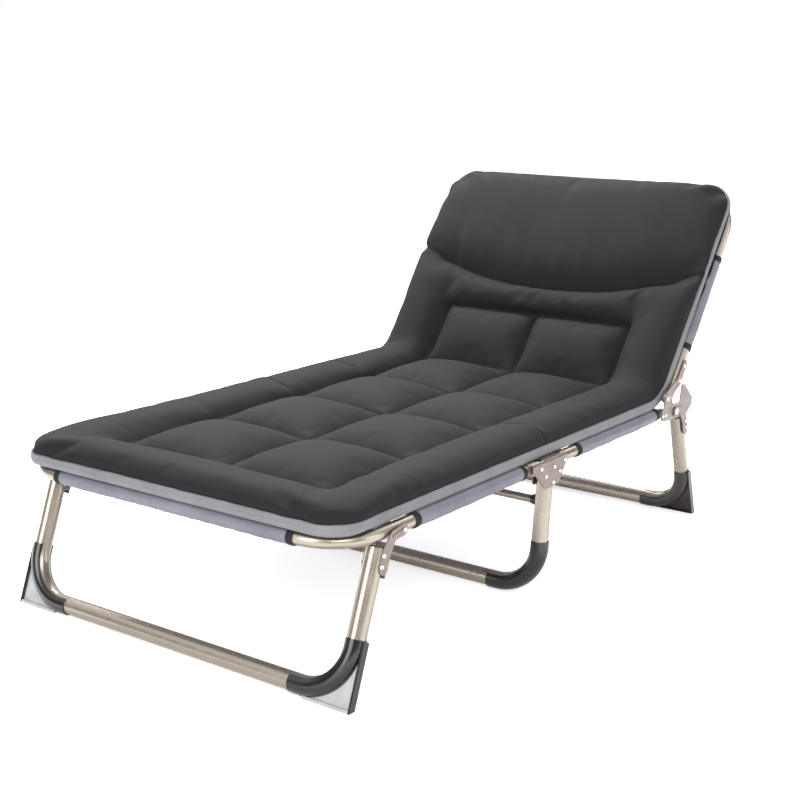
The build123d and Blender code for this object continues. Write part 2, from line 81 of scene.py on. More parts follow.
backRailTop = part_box("back_rail")[1]
backRailEndY = flatFromBack(backRailTop[1] - railRadius, backRailTop[2] - railRadius)[0]
padHeadY = backRailEndY + (footEndY - padFootY)
skinInset = 0.002  # the pad's skin starts this far inside its tape
skinFootY, skinHeadY = padFootY + skinInset, padHeadY - skinInset

# The soft pieces bend over the recliner round a curve of this radius, between two places
bendRadius = 0.120
vertexY = backPivot[1] + (backPivot[2] - padBottom) * math.tan(backAngle / 2)
tangent = bendRadius * math.tan(backAngle / 2)
bend = {
    "radius": bendRadius,
    "start": vertexY - tangent,
    "end": 2 * backPivot[1] - vertexY + tangent,
}


def bendPoint(x, y, z):
    # Takes a point from the flat cot to the cot with its back raised
    up = z - padBottom
    if y <= bend["start"]:
        return (x, y, z)
    if y >= bend["end"]:
        dy, dz = y - backPivot[1], z - backPivot[2]
        c, s = math.cos(backAngle), math.sin(backAngle)
        return (x, backPivot[1] + dy * c - dz * s, backPivot[2] + dy * s + dz * c)
    turn = backAngle * (y - bend["start"]) / (bend["end"] - bend["start"])
    r = bend["radius"] - up
    return (x, bend["start"] + r * math.sin(turn), padBottom + bend["radius"] - r * math.cos(turn))


# Node helper and colours


def addNode(tree, kind, inputs=None, **settings):
    node = tree.nodes.new(kind)
    for name, value in settings.items():
        setattr(node, name, value)
    for name, value in (inputs or {}).items():
        if isinstance(value, bpy.types.NodeSocket):
            tree.links.new(value, node.inputs[name])
        else:
            node.inputs[name].default_value = value
    return node


def hexColour(text):
    parts = [int(text[i : i + 2], 16) / 255 for i in (1, 3, 5)]
    linear = [p / 12.92 if p <= 0.04045 else ((p + 0.055) / 1.055) ** 2.4 for p in parts]
    return (*linear, 1.0)


def newMaterial(name, colour, roughness, metallic=0.0, **sockets):
    material = bpy.data.materials.new(name)
    material.use_nodes = True
    tree = material.node_tree
    shader = tree.nodes["Principled BSDF"]
    shader.inputs["Base Color"].default_value = hexColour(colour)
    shader.inputs["Roughness"].default_value = roughness
    shader.inputs["Metallic"].default_value = metallic
    for socket, value in sockets.items():
        shader.inputs[socket.replace("_", " ")].default_value = value
    return material, tree, shader


# What each thing is made of. A pattern's scale is 1 / its size in metres: 700 is a 1.4 mm grain


def driftColour(tree, shader, place, dark, light, scale, spread=0.15, detail=4.0):
    # Slow drift between two close colours, so no area is one flat colour
    cloud = addNode(tree, "ShaderNodeTexNoise", {"Vector": place, "Scale": scale, "Detail": detail})
    ramp = addNode(tree, "ShaderNodeValToRGB", {"Fac": cloud.outputs["Fac"]})
    ramp.color_ramp.elements[0].position = 0.5 - spread
    ramp.color_ramp.elements[1].position = 0.5 + spread
    ramp.color_ramp.elements[0].color = hexColour(dark)
    ramp.color_ramp.elements[1].color = hexColour(light)
    tree.links.new(ramp.outputs["Color"], shader.inputs["Base Color"])


def driftGloss(tree, shader, place, low, high, scale):
    cloud = addNode(tree, "ShaderNodeTexNoise", {"Vector": place, "Scale": scale, "Detail": 3.0})
    ends = {"From Min": 0.3, "From Max": 0.7, "To Min": low, "To Max": high}
    span = addNode(tree, "ShaderNodeMapRange", {"Value": cloud.outputs["Fac"], **ends})
    tree.links.new(span.outputs["Result"], shader.inputs["Roughness"])


def plainWeave(tree, place, pitch, twist=0.0):
    # Height of a plain weave: warp and weft threads at right angles, pitch in metres
    turned = addNode(tree, "ShaderNodeMapping", {"Vector": place, "Rotation": (0.0, 0.0, twist)})
    scale = 0.314 / pitch  # at a scale of 1 the bands are 0.314 m apart
    heights = []
    for direction in ("X", "Y"):
        size = {"Vector": turned.outputs["Vector"], "Scale": scale}
        uneven = {"Distortion": 0.6, "Detail": 1.0}
        bands = {"wave_type": "BANDS", "bands_direction": direction}
        wave = addNode(tree, "ShaderNodeTexWave", {**size, **uneven}, **bands)
        heights.append(wave.outputs["Fac"])
    upper = {0: heights[0], 1: heights[1]}
    return addNode(tree, "ShaderNodeMath", upper, operation="MAXIMUM").outputs[0]


def layRelief(tree, shader, layers):
    # Relief from the broadest to the finest: (height, strength, depth in metres)
    normal = None
    for height, strength, depth in layers:
        sizes = {"Height": height, "Strength": strength, "Distance": depth}
        bump = addNode(tree, "ShaderNodeBump", sizes)
        if normal is not None:
            tree.links.new(normal, bump.inputs["Normal"])
        normal = bump.outputs["Normal"]
    tree.links.new(normal, shader.inputs["Normal"])


def makePearlCoat():
    # Powder-coated steel tube, champagne with pearl flake: satin with a soft bright streak
    material, tree, shader = newMaterial(
        "pearlPowderCoat", "#b3a89b", 0.28, 0.85, Coat_Weight=0.2, Coat_Roughness=0.2
    )
    place = addNode(tree, "ShaderNodeTexCoord").outputs["Object"]
    # The flake is drawn at 1.4 mm, coarser than it is, so that it shows
    driftColour(tree, shader, place, "#ada294", "#b9afa2", 700.0, 0.3)
    driftGloss(tree, shader, place, 0.25, 0.32, 40.0)
    peel = addNode(tree, "ShaderNodeTexNoise", {"Vector": place, "Scale": 300.0, "Detail": 2.0})
    layRelief(tree, shader, [(peel.outputs["Fac"], 0.03, 0.0003)])
    return material


def makePressedSteel():
    # Pressed sheet steel under a thin grey-brown lacquer: duller than the tubes, rolling marks
    material, tree, shader = newMaterial("lacqueredSteel", "#8a7d79", 0.34, 0.75)
    place = addNode(tree, "ShaderNodeTexCoord").outputs["Object"]
    driftColour(tree, shader, place, "#837671", "#978b87", 40.0, 0.25)
    driftGloss(tree, shader, place, 0.3, 0.42, 90.0)
    along = addNode(tree, "ShaderNodeMapping", {"Vector": place, "Scale": (1.0, 0.12, 1.0)})
    rolled = {"Vector": along.outputs["Vector"], "Scale": 600.0, "Detail": 2.0}
    marks = addNode(tree, "ShaderNodeTexNoise", rolled)
    layRelief(tree, shader, [(marks.outputs["Fac"], 0.08, 0.0004)])
    return material


def makeZinc():
    # Bright zinc-plated rivet steel: small sharp highlights
    material, tree, shader = newMaterial("zincPlate", "#efece6", 0.22, 0.85)
    place = addNode(tree, "ShaderNodeTexCoord").outputs["Object"]
    driftColour(tree, shader, place, "#e2ded7", "#f8f6f2", 300.0)
    driftGloss(tree, shader, place, 0.18, 0.32, 200.0)
    return material


def makeGlossNylon(name, dark, light, gloss):
    # Moulded nylon with a glossy skin: long clear highlights over a near-black body
    material, tree, shader = newMaterial(
        name, dark, gloss, 0.0, Coat_Weight=0.7, Coat_Roughness=0.16
    )
    place = addNode(tree, "ShaderNodeTexCoord").outputs["Object"]
    driftColour(tree, shader, place, dark, light, 40.0)
    driftGloss(tree, shader, place, gloss - 0.03, gloss + 0.05, 70.0)
    waves = addNode(tree, "ShaderNodeTexNoise", {"Vector": place, "Scale": 90.0, "Detail": 2.0})
    layRelief(tree, shader, [(waves.outputs["Fac"], 0.04, 0.0005)])
    return material


def makePaleNylon():
    # Moulded light grey nylon: slightly milky, a fine moulded grain
    material, tree, shader = newMaterial(
        "paleGreyNylon", "#b9b9bb", 0.4, 0.0, Subsurface_Weight=0.08, Subsurface_Scale=0.004
    )
    place = addNode(tree, "ShaderNodeTexCoord").outputs["Object"]
    driftColour(tree, shader, place, "#b2b2b4", "#c0c0c1", 60.0)
    grain = addNode(tree, "ShaderNodeTexNoise", {"Vector": place, "Scale": 700.0, "Detail": 2.0})
    layRelief(tree, shader, [(grain.outputs["Fac"], 0.1, 0.0003)])
    return material


def makeMattPlug():
    # Moulded polyethylene tube plugs: matt, a little grain
    material, tree, shader = newMaterial("mattPolyethylene", "#1d1c1c", 0.6)
    place = addNode(tree, "ShaderNodeTexCoord").outputs["Object"]
    driftColour(tree, shader, place, "#191818", "#242323", 90.0)
    grain = addNode(tree, "ShaderNodeTexNoise", {"Vector": place, "Scale": 900.0, "Detail": 2.0})
    layRelief(tree, shader, [(grain.outputs["Fac"], 0.2, 0.0004)])
    return material


def makeBrushedPolyester():
    # Brushed charcoal polyester: a soft nap that lightens at grazing angles, a faint weave
    material, tree, shader = newMaterial(
        "brushedPolyester", "#1e1e20", 0.8, 0.0, Sheen_Weight=0.09, Sheen_Roughness=0.5
    )
    shader.inputs["Sheen Tint"].default_value = hexColour("#77777c")
    shader.inputs["Specular IOR Level"].default_value = 0.25
    place = addNode(tree, "ShaderNodeAttribute", attribute_name="flat").outputs["Vector"]
    driftColour(tree, shader, place, "#1b1b1d", "#212123", 9.0, 0.25, 8.0)
    # Painted shade: along the seams the colour is darkened to near black, standing in for the shade in the
    # stitched grooves
    drifted = shader.inputs["Base Color"].links[0].from_socket
    sewn = addNode(tree, "ShaderNodeAttribute", attribute_name="sewn").outputs["Fac"]
    # The second colour, near black, is the painted seam shade
    sides = {0: sewn, 6: drifted, 7: hexColour("#0b0b0c")}  # share, first and second colour
    seamShadedColour = addNode(tree, "ShaderNodeMix", sides, data_type="RGBA")
    tree.links.new(seamShadedColour.outputs[2], shader.inputs["Base Color"])
    swells = {"Vector": place, "Scale": 22.0, "Detail": 3.0, "Roughness": 0.45}
    swell = addNode(tree, "ShaderNodeTexNoise", swells).outputs["Fac"]
    nap = addNode(tree, "ShaderNodeTexNoise", {"Vector": place, "Scale": 900.0, "Detail": 4.0})
    # The weave is drawn at 1.6 mm, coarser than it is, so that it shows
    weave = plainWeave(tree, place, 0.0016)
    layers = [(swell, 0.12, 0.003), (nap.outputs["Fac"], 0.2, 0.0004), (weave, 0.15, 0.0003)]
    layRelief(tree, shader, layers)
    return material


def makeTape():
    # Woven polyester binding tape: mid grey, a fine twill running round the pad
    material, tree, shader = newMaterial(
        "wovenBindingTape", "#79797d", 0.6, 0.0, Sheen_Weight=0.12, Sheen_Roughness=0.5
    )
    place = addNode(tree, "ShaderNodeAttribute", attribute_name="flat").outputs["Vector"]
    driftColour(tree, shader, place, "#717175", "#838387", 14.0, 0.25)
    layRelief(tree, shader, [(plainWeave(tree, place, 0.0015, 0.6), 0.3, 0.0004)])
    return material


def makeOxford():
    # Coated oxford cloth: blue-grey, a tight plain weave with a slightly waxy surface
    material, tree, shader = newMaterial(
        "coatedOxford", "#76747f", 0.46, 0.0, Sheen_Weight=0.1, Sheen_Roughness=0.4
    )
    place = addNode(tree, "ShaderNodeAttribute", attribute_name="flat").outputs["Vector"]
    driftColour(tree, shader, place, "#6b6975", "#81808c", 14.0, 0.25)
    slackness = {"Vector": place, "Scale": 16.0, "Detail": 2.0, "Distortion": 0.6}
    slack = addNode(tree, "ShaderNodeTexNoise", slackness).outputs["Fac"]
    weave = plainWeave(tree, place, 0.0014)  # coarser than it is, so that it shows
    layRelief(tree, shader, [(slack, 0.35, 0.004), (weave, 0.3, 0.0003)])
    return material


def makeElastic():
    # Black knitted elastic at the sleeve ends: matt, with fine cords in it
    material, tree, shader = newMaterial(
        "blackElastic", "#161618", 0.8, 0.0, Sheen_Weight=0.15, Sheen_Roughness=0.5
    )
    place = addNode(tree, "ShaderNodeAttribute", attribute_name="flat").outputs["Vector"]
    driftColour(tree, shader, place, "#111113", "#1d1d1f", 80.0)
    layRelief(tree, shader, [(plainWeave(tree, place, 0.0012), 0.4, 0.0004)])
    return material


def makeThread():
    # Bonded polyester sewing thread: a faint twist over a soft gloss
    material, tree, shader = newMaterial(
        "polyesterThread", "#8f8f94", 0.55, 0.0, Sheen_Weight=0.1, Sheen_Roughness=0.4
    )
    place = addNode(tree, "ShaderNodeTexCoord").outputs["Object"]
    twist = addNode(tree, "ShaderNodeTexNoise", {"Vector": place, "Scale": 1500.0, "Detail": 2.0})
    layRelief(tree, shader, [(twist.outputs["Fac"], 0.3, 0.0003)])
    return material


finishes = {
    "frame_paint": makePearlCoat(),
    "bracket_steel": makePressedSteel(),
    "rivet_steel": makeZinc(),
    "cap_plastic": makeGlossNylon("glossBlackNylon", "#0f0e0f", "#161415", 0.2),
    "web_plastic": makePaleNylon(),
    "plug_plastic": makeMattPlug(),
    "pad_cloth": makeBrushedPolyester(),
    "binding_tape": makeTape(),
    "sling_cloth": makeOxford(),
    "cuff_tape": makeElastic(),
}
brownNylon = makeGlossNylon("brownBlackNylon", "#221a18", "#2c2320", 0.3)
threadMaterial = makeThread()

slotOf = {entry["node"]: entry["material_slot"] for entry in frame["record"]["subparts"]}
for name, node in frame["nodes"].items():
    isRearCap = name.startswith("rear_foot_cap")
    node.data.materials.clear()
    node.data.materials.append(brownNylon if isRearCap else finishes[slotOf[name]])
print("materials on the frame")


# Mesh helpers


def bentMesh(name, points, faces, material, sewn=None):
    # Points are given on the flat cot and keep that place as the attribute "flat"
    mesh = bpy.data.meshes.new(name)
    mesh.from_pydata([bendPoint(*p) for p in points], [], faces)
    flat = mesh.attributes.new("flat", "FLOAT_VECTOR", "POINT")
    flat.data.foreach_set("vector", np.array(points, np.float32).ravel())
    # sewn holds the share of painted seam shade at each point, for the pad's material
    if sewn is not None:
        mesh.attributes.new("sewn", "FLOAT", "POINT").data.foreach_set("value", sewn)
    mesh.shade_smooth()
    mesh.materials.append(material)
    mesh.validate()
    piece = bpy.data.objects.new(name, mesh)
    bpy.context.scene.collection.objects.link(piece)
    return piece


def faceOut(piece):
    work = bmesh.new()
    work.from_mesh(piece.data)
    bmesh.ops.remove_doubles(work, verts=work.verts, dist=0.00002)
    bmesh.ops.recalc_face_normals(work, faces=work.faces)
    work.to_mesh(piece.data)
    work.free()


def smoothstep(t):
    t = min(max(t, 0.0), 1.0)
    return t * t * (3 - 2 * t)


def ripple(x, y, z, scale, seed=0.0):
    return noise.noise(Vector((x * scale + seed, y * scale - seed, z * scale + 0.37 * seed)))


# Padded top

pad = {
    "edge": tapeTop - padBottom,  # height of the sewn edge over the deck
    "side": padHalf - skinInset,  # half the width inside the tape
    "corner": 0.052,
    "seamX": 0.228,  # the long quilting seams
    "groove": 0.0048,  # how far a seam is pulled in
    "grooveWidth": 0.0045,
    "seamShadeWidth": 0.004,  # how far the painted shade of a seam reaches
    # Heights over the deck: at a seam, where seams cross, and at the top of each padded part
    "seam": 0.0165,
    "tuft": 0.0135,
    "cell": 0.044,
    "border": 0.041,
    "backCell": 0.035,
    "pillow": 0.047,
    "least": 0.004,
    "firstSeam": padFootY + 0.127,
    "backSeam": backPivot[1] + 0.154,
    "pillowSeam": backPivot[1] + 0.292,
    "pillowSag": 0.074,
    "crown": (2.3, 0.62),  # powers that round a filled part: higher and lower are fuller
    "rimReach": 0.06,  # how far in from the edge the plump rim has a say
    "notch": (0.8, 0.7),  # what is left of the rim's height and overhang at the pillow's seam
    "slack": 0.012,
    "pressure": 5.0,
    "frames": 20,
    "cap": 0.009,  # how far the filling may push a point
}
# Rows and columns of the skin between one seam and the next
padSteps = {
    "corner": 11,
    "foot": 3,
    "cell": 22,
    "panel": 15,
    "sag": 13,
    "pillow": 12,
    "half": 22,
    "border": 9,
    "rim": (0.032, 0.020, 0.012, 0.006, 0.0),  # the last columns, as distances from the side
}
gathers = {
    "reach": 0.022,  # how far small gathers run out from a seam
    "small": (0.0007, 48.0),  # depth, and how many to the metre
    "broad": (0.0008, 10.0),
    "pillow": (0.0065, 16.0),
    "pillowReach": 0.16,
    "pillowFade": 0.06,
    "pillowStart": 0.012,
    "edgeFade": 0.006,
}
# The plump rim: distance in from the edge, how far the skin stands out, height over the deck
plumpRim = [
    (0.000, 0.0000, 0.0160),
    (0.006, 0.0120, 0.0195),
    (0.012, 0.0190, 0.0265),
    (0.020, 0.0235, 0.0335),
    (0.032, 0.0215, 0.0395),
    (0.046, 0.0170, 0.0415),
    (0.070, 0.0110, 0.0405),
    (0.095, 0.0045, 0.0340),
    (0.120, 0.0000, 0.0165),
]
cellLength = (backPivot[1] - pad["firstSeam"]) / 4
cellSeams = [pad["firstSeam"] + cellLength * i for i in range(5)]
cellSeams[2] = hingeSeamY
midSeamY = cellSeams[3]


def cornerInset(y):
    # How far the rounded corners pull in the sides at a place along the pad
    r = pad["corner"]
    d = min(y - skinFootY, skinHeadY - y)
    if d >= r:
        return 0.0
    d = max(d, 0.0)
    return r - math.sqrt(max(r * r - (r - d) ** 2, 0.0))


def edgeDistance(x, y):
    # Distance in from the pad's outline, and the way out across it
    r = pad["corner"]
    middle = (padFootY + padHeadY) / 2
    halfLength = (skinHeadY - skinFootY) / 2
    qx, qy = abs(x) - (pad["side"] - r), abs(y - middle) - (halfLength - r)
    outside = math.hypot(max(qx, 0.0), max(qy, 0.0)) + min(max(qx, qy), 0.0)
    if qx > 0 and qy > 0:
        way = (qx, qy)
    else:
        way = (1.0, 0.0) if qx > qy else (0.0, 1.0)
    # Round a corner the rim leans out less, so that it doesn't bunch up
    size = math.hypot(*way) * (1 + 0.9 * min(max(qx, 0.0), max(qy, 0.0)) / r)
    return r - outside, math.copysign(way[0] / size, x), math.copysign(way[1] / size, y - middle)


def rimShape(d):
    # How far out and how high the skin stands at a distance in from the edge
    for (d0, o0, u0), (d1, o1, u1) in zip(plumpRim, plumpRim[1:]):
        if d <= d1:
            t = min(max((d - d0) / (d1 - d0), 0.0), 1.0)
            return o0 + (o1 - o0) * t, u0 + (u1 - u0) * t
    return 0.0, plumpRim[-1][2]


def pillowLine(x):
    # Where the sagging seam under the pillow lies
    t = min(abs(x) / pad["side"], 1.0)
    return pad["pillowSeam"] - pad["pillowSag"] * (1 - t ** 2.2)


def spanOf(start, end, count):
    return [start + (end - start) * i / count for i in range(count)]


def padRows():
    # Places of the skin's rows along the pad, with a row on every seam
    steps, r = padSteps, pad["corner"]
    quarter = [math.pi / 2 * i / steps["corner"] for i in range(steps["corner"] + 1)]
    rounds = [r * (1 - math.cos(a)) for a in quarter]
    rows = [skinFootY + d for d in rounds[:-1]]
    rows += spanOf(skinFootY + r, cellSeams[0], steps["foot"])
    for low, high in zip(cellSeams, cellSeams[1:]):
        rows += spanOf(low, high, steps["cell"])
    rows += spanOf(cellSeams[4], pad["backSeam"], steps["panel"])
    rows += spanOf(pad["backSeam"], pad["pillowSeam"], steps["sag"])
    rows += spanOf(pad["pillowSeam"], skinHeadY - r, steps["pillow"])
    rows += [skinHeadY - d for d in reversed(rounds)]
    return rows


def padColumns():
    s, w, rim = pad["seamX"], pad["side"], padSteps["rim"]
    half = spanOf(0.0, s, padSteps["half"]) + spanOf(s, w - rim[0], padSteps["border"])
    half += [w - d for d in rim]
    return [-x for x in reversed(half[1:])] + half


rows = padRows()
columns = padColumns()
near = 1e-5  # a row or column this close to a seam is on it


def warpRow(x, y):
    # Bends the rows of the grid so that one of them runs along the sagging pillow seam
    low, mid, high = pad["backSeam"], pad["pillowSeam"], padHeadY - 0.1
    if y <= low or y >= high:
        return y
    move = pillowLine(x) - pad["pillowSeam"]
    share = (y - low) / (mid - low) if y <= mid else (high - y) / (high - mid)
    return y + move * share


def between(value, low, high):
    # 0 at both ends and 1 in the middle, rounded like a filled tube
    t = (value - low) / (high - low)
    full, rounded = pad["crown"]
    return max(0.0, 1 - abs(2 * t - 1) ** full) ** rounded


def padHeight(x, y):
    # Height of the filled top over the deck before the cloth is relaxed
    p = pad
    ax = abs(x)
    if p["firstSeam"] <= y <= cellSeams[4] and ax <= p["seamX"]:
        i = min(int((y - p["firstSeam"]) / cellLength), 3)
        puff = between(ax, 0.0, p["seamX"]) * between(y, cellSeams[i], cellSeams[i + 1])
        return p["seam"] + (p["cell"] - p["seam"]) * puff
    if cellSeams[4] <= y <= p["backSeam"] and ax <= p["seamX"]:
        puff = between(ax, 0.0, p["seamX"]) * between(y, cellSeams[4], p["backSeam"])
        return p["seam"] + (p["backCell"] - p["seam"]) * min(1.0, 1.3 * puff)
    if y >= pillowLine(x):
        side = p["side"] - cornerInset(y)
        across = max(0.0, 1 - (ax / side) ** 4) ** 0.5
        along = between(y, pillowLine(x), padHeadY)
        low = p["edge"] + (p["seam"] - p["edge"]) * across
        return low + (p["pillow"] - low) * across * along
    outer = min(p["side"] - cornerInset(y) - ax, y - padFootY, pillowLine(x) - y)
    dx = ax - p["seamX"]
    dy = max(p["firstSeam"] - y, y - p["backSeam"])
    inner = math.hypot(max(dx, 0.0), max(dy, 0.0)) if (dx > 0 and dy > 0) else max(dx, dy)
    outer, inner = max(outer, 0.0), max(inner, 0.0)
    share = outer / (outer + inner + 1e-6)
    low = p["edge"] + (p["seam"] - p["edge"]) * share
    return low + (p["border"] - low) * between(share, 0.0, 1.0)


def onSeam(i, j):
    y, ax = rows[i], abs(columns[j])
    inCells = cellSeams[0] - near <= y <= pad["backSeam"] + near
    if inCells and (abs(ax - pad["seamX"]) < near or ax < near):
        return True
    crossSeams = cellSeams + [pad["backSeam"]]
    if ax <= pad["seamX"] + near and any(abs(y - s) < near for s in crossSeams):
        return True
    return abs(y - pad["pillowSeam"]) < near


def isTuft(i, j):
    # Where a long seam crosses a short one
    onCross = any(abs(rows[i] - s) < near for s in cellSeams)
    return onCross and (abs(columns[j]) < near or abs(abs(columns[j]) - pad["seamX"]) < near)


def padTopGrid():
    # Flat places of the pad's top skin, row by row, and which of them the sewing holds
    places, held = [], []
    notchHeight, notchOut = pad["notch"]
    for i, y in enumerate(rows):
        side = pad["side"] - cornerInset(y)
        for j, column in enumerate(columns):
            x = column * side / pad["side"]
            along = warpRow(x, y)
            edge = i in (0, len(rows) - 1) or j in (0, len(columns) - 1)
            if edge:
                up = pad["edge"]
            elif isTuft(i, j):
                up = pad["tuft"]
            elif onSeam(i, j):
                up = pad["seam"]
            else:
                up = padHeight(x, along)
            d, outX, outY = edgeDistance(x, along)
            out, rimUp = rimShape(d)
            if not edge and d < pad["rimReach"]:
                share = smoothstep(d / 0.05)
                up = rimUp * (1 - share) + max(up, rimUp * 0.6) * share
            if edge:
                out = 0.0
            elif onSeam(i, j):
                # The pillow's seam runs out over the rim in a shallow notch
                share = smoothstep(d / pad["rimReach"])
                up = rimUp * notchHeight * (1 - share) + up * share
                out *= notchOut
            places.append((x + outX * out, along + outY * out, padBottom + up))
            held.append(edge or onSeam(i, j))
    return places, held


def gridFaces(rowCount, columnCount, first=0, flip=False):
    # Four-sided faces over points that lie row by row
    faces = []
    for i in range(rowCount - 1):
        for j in range(columnCount - 1):
            a = first + i * columnCount + j
            face = (a, a + 1, a + columnCount + 1, a + columnCount)
            faces.append(face[::-1] if flip else face)
    return faces


def rimOf(rowCount, columnCount):
    # Row and column of every point round the edge of such a grid
    rim = [(0, j) for j in range(columnCount)]
    rim += [(i, columnCount - 1) for i in range(1, rowCount)]
    rim += [(rowCount - 1, j) for j in range(columnCount - 2, -1, -1)]
    return rim + [(i, 0) for i in range(rowCount - 2, 0, -1)]


def relaxCloth(places, held):
    # Sews the skin down along its seams, fills it from below and lets the cloth settle
    count = len(places)
    under = [(x, y, padBottom) for x, y, z in places]
    faces = gridFaces(len(rows), len(columns)) + gridFaces(len(rows), len(columns), count, True)
    rim = [i * len(columns) + j for i, j in rimOf(len(rows), len(columns))]
    for a, b in zip(rim, rim[1:] + rim[:1]):
        faces.append((a, a + count, b + count, b))
    mesh = bpy.data.meshes.new("padSkin")
    mesh.from_pydata(places + under, [], faces)
    skin = bpy.data.objects.new("padSkin", mesh)
    bpy.context.scene.collection.objects.link(skin)
    group = skin.vertex_groups.new(name="sewn")
    group.add([i for i, h in enumerate(held) if h] + list(range(count, 2 * count)), 1.0, "REPLACE")
    cloth = skin.modifiers.new("filling", "CLOTH")
    setup = cloth.settings
    setup.quality = 5
    setup.mass = 0.25
    setup.tension_stiffness = 12
    setup.compression_stiffness = 6
    setup.shear_stiffness = 4
    setup.bending_stiffness = 0.35
    setup.vertex_group_mass = "sewn"
    setup.use_pressure = True
    setup.uniform_pressure_force = pad["pressure"]
    setup.shrink_min = -pad["slack"]
    setup.effector_weights.gravity = 0
    cloth.collision_settings.use_collision = False
    cloth.point_cache.frame_start = 1
    cloth.point_cache.frame_end = pad["frames"]
    for step in range(1, pad["frames"] + 1):
        bpy.context.scene.frame_set(step)
    settled = skin.evaluated_get(bpy.context.evaluated_depsgraph_get())
    moved = []
    for (x, y, z), v, h in zip(places, settled.data.vertices, held):
        shift = v.co - Vector((x, y, z))
        over = shift.length - pad["cap"]
        if over > 0:
            shift *= (pad["cap"] + 0.25 * min(over, 0.01)) / shift.length
        moved.append((x, y, z) if h else (x + shift.x, y + shift.y, z + shift.z))
    bpy.context.scene.frame_set(1)
    bpy.data.objects.remove(skin)
    return moved


def seamDistance(x, y):
    # How far the nearest seam is on the flat cot
    ax = abs(x)
    found = [abs(y - pillowLine(x))]
    if cellSeams[0] < y < pad["backSeam"]:
        found += [abs(ax - pad["seamX"]), ax]
    if ax < pad["seamX"]:
        found += [abs(y - s) for s in cellSeams] + [abs(y - pad["backSeam"])]
    return min(found)


def groove(x, y):
    # Stitching pulls the skin down along every seam
    return pad["groove"] * math.exp(-((seamDistance(x, y) / pad["grooveWidth"]) ** 2))


def crease(x, y, z):
    # Small gathers that run out from the seams, and longer ones over the pillow's seam
    g = gathers
    by = math.exp(-seamDistance(x, y) / g["reach"])
    small = g["small"][0] * by * ripple(x, y, 0, g["small"][1])
    up = small + g["broad"][0] * ripple(x, y, 0, g["broad"][1], 3.0)
    over = y - pillowLine(x)
    if 0 < over < g["pillowReach"]:
        # They run up and fan outwards, so they are long in y and lean with x
        fold = ripple(x * 2.4, (y - 0.25 * abs(x)) * 0.5, 0, g["pillow"][1], 7.0)
        fade = math.exp(-over / g["pillowFade"]) * smoothstep(over / g["pillowStart"])
        up += g["pillow"][0] * fold * fade
    return up * smoothstep((z - padBottom - pad["edge"]) / g["edgeFade"])


def padPiece(name, skin, rowStart, rowEnd):
    # One sewn length of the pad, closed underneath and at its seams
    width = len(columns)
    places = skin[rowStart * width : (rowEnd + 1) * width]
    count, rowCount = len(places), rowEnd - rowStart + 1
    under = [(x, y, padBottom) for x, y, z in places]
    faces = gridFaces(rowCount, width) + gridFaces(rowCount, width, count, True)
    for i in range(rowCount - 1):
        a, b = i * width, (i + 1) * width
        faces.append((a, b, b + count, a + count))
        a, b = a + width - 1, b + width - 1
        faces.append((b, a, a + count, b + count))
    if rowStart == 0:
        faces += [(j + 1, j + count + 1, j + count, j) for j in range(width - 1)]
    if rowEnd == len(rows) - 1:
        last = (rowCount - 1) * width
        ends = range(last, last + width - 1)
        faces += [(j, j + count, j + count + 1, j + 1) for j in ends]
    mesh = bpy.data.meshes.new(name)
    mesh.from_pydata(places + under, [], faces)
    rough = bpy.data.objects.new(name, mesh)
    bpy.context.scene.collection.objects.link(rough)
    finer = rough.modifiers.new("finer", "SUBSURF")
    finer.levels = finer.render_levels = 1
    settled = rough.evaluated_get(bpy.context.evaluated_depsgraph_get())
    smooth = bpy.data.meshes.new_from_object(settled)
    polygons = [tuple(f.vertices) for f in smooth.polygons]
    least = padBottom + pad["least"]
    points, sewn = [], []
    for x, y, z in (tuple(v.co) for v in smooth.vertices):
        if z > least:
            z = max(z + crease(x, y, z) - groove(x, y), least)
        points.append((x, y, z))
        # Share of painted seam shade at each point, stored as the attribute sewn
        sewn.append(math.exp(-((seamDistance(x, y) / pad["seamShadeWidth"]) ** 2)))
    bpy.data.objects.remove(rough)
    piece = bentMesh(name, points, polygons, finishes["pad_cloth"], sewn)
    closeEnds(piece)
    return piece


def closeEnds(piece):
    # Fills what is still open after the pad is cut into lengths
    work = bmesh.new()
    work.from_mesh(piece.data)
    gaps = [e for e in work.edges if len(e.link_faces) == 1]
    if gaps:
        bmesh.ops.holes_fill(work, edges=gaps, sides=0)
    bmesh.ops.recalc_face_normals(work, faces=work.faces)
    work.to_mesh(piece.data)
    work.free()


topPlaces, topHeld = padTopGrid()
topPlaces = relaxCloth(topPlaces, topHeld)
print("pad filled, highest point", round(max(p[2] for p in topPlaces), 4))

# The pad is cut at the row that lies on each of these seams
hingeRow = min(range(len(rows)), key=lambda i: abs(rows[i] - hingeSeamY))
midRow = min(range(len(rows)), key=lambda i: abs(rows[i] - midSeamY))
footPadPiece = padPiece("quiltedFootPad", topPlaces, 0, hingeRow)
seatPadPiece = padPiece("quiltedSeatPad", topPlaces, hingeRow, midRow)
backPadPiece = padPiece("quiltedBackPad", topPlaces, midRow, len(rows) - 1)


def followJoint(piece):
    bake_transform(piece)


for piece, part in ((footPadPiece, "foot"), (seatPadPiece, "seat"), (backPadPiece, "back")):
    followJoint(piece)
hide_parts("foot_pad")
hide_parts("seat_pad")
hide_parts("back_pad", "pillow")


# Binding round the pad

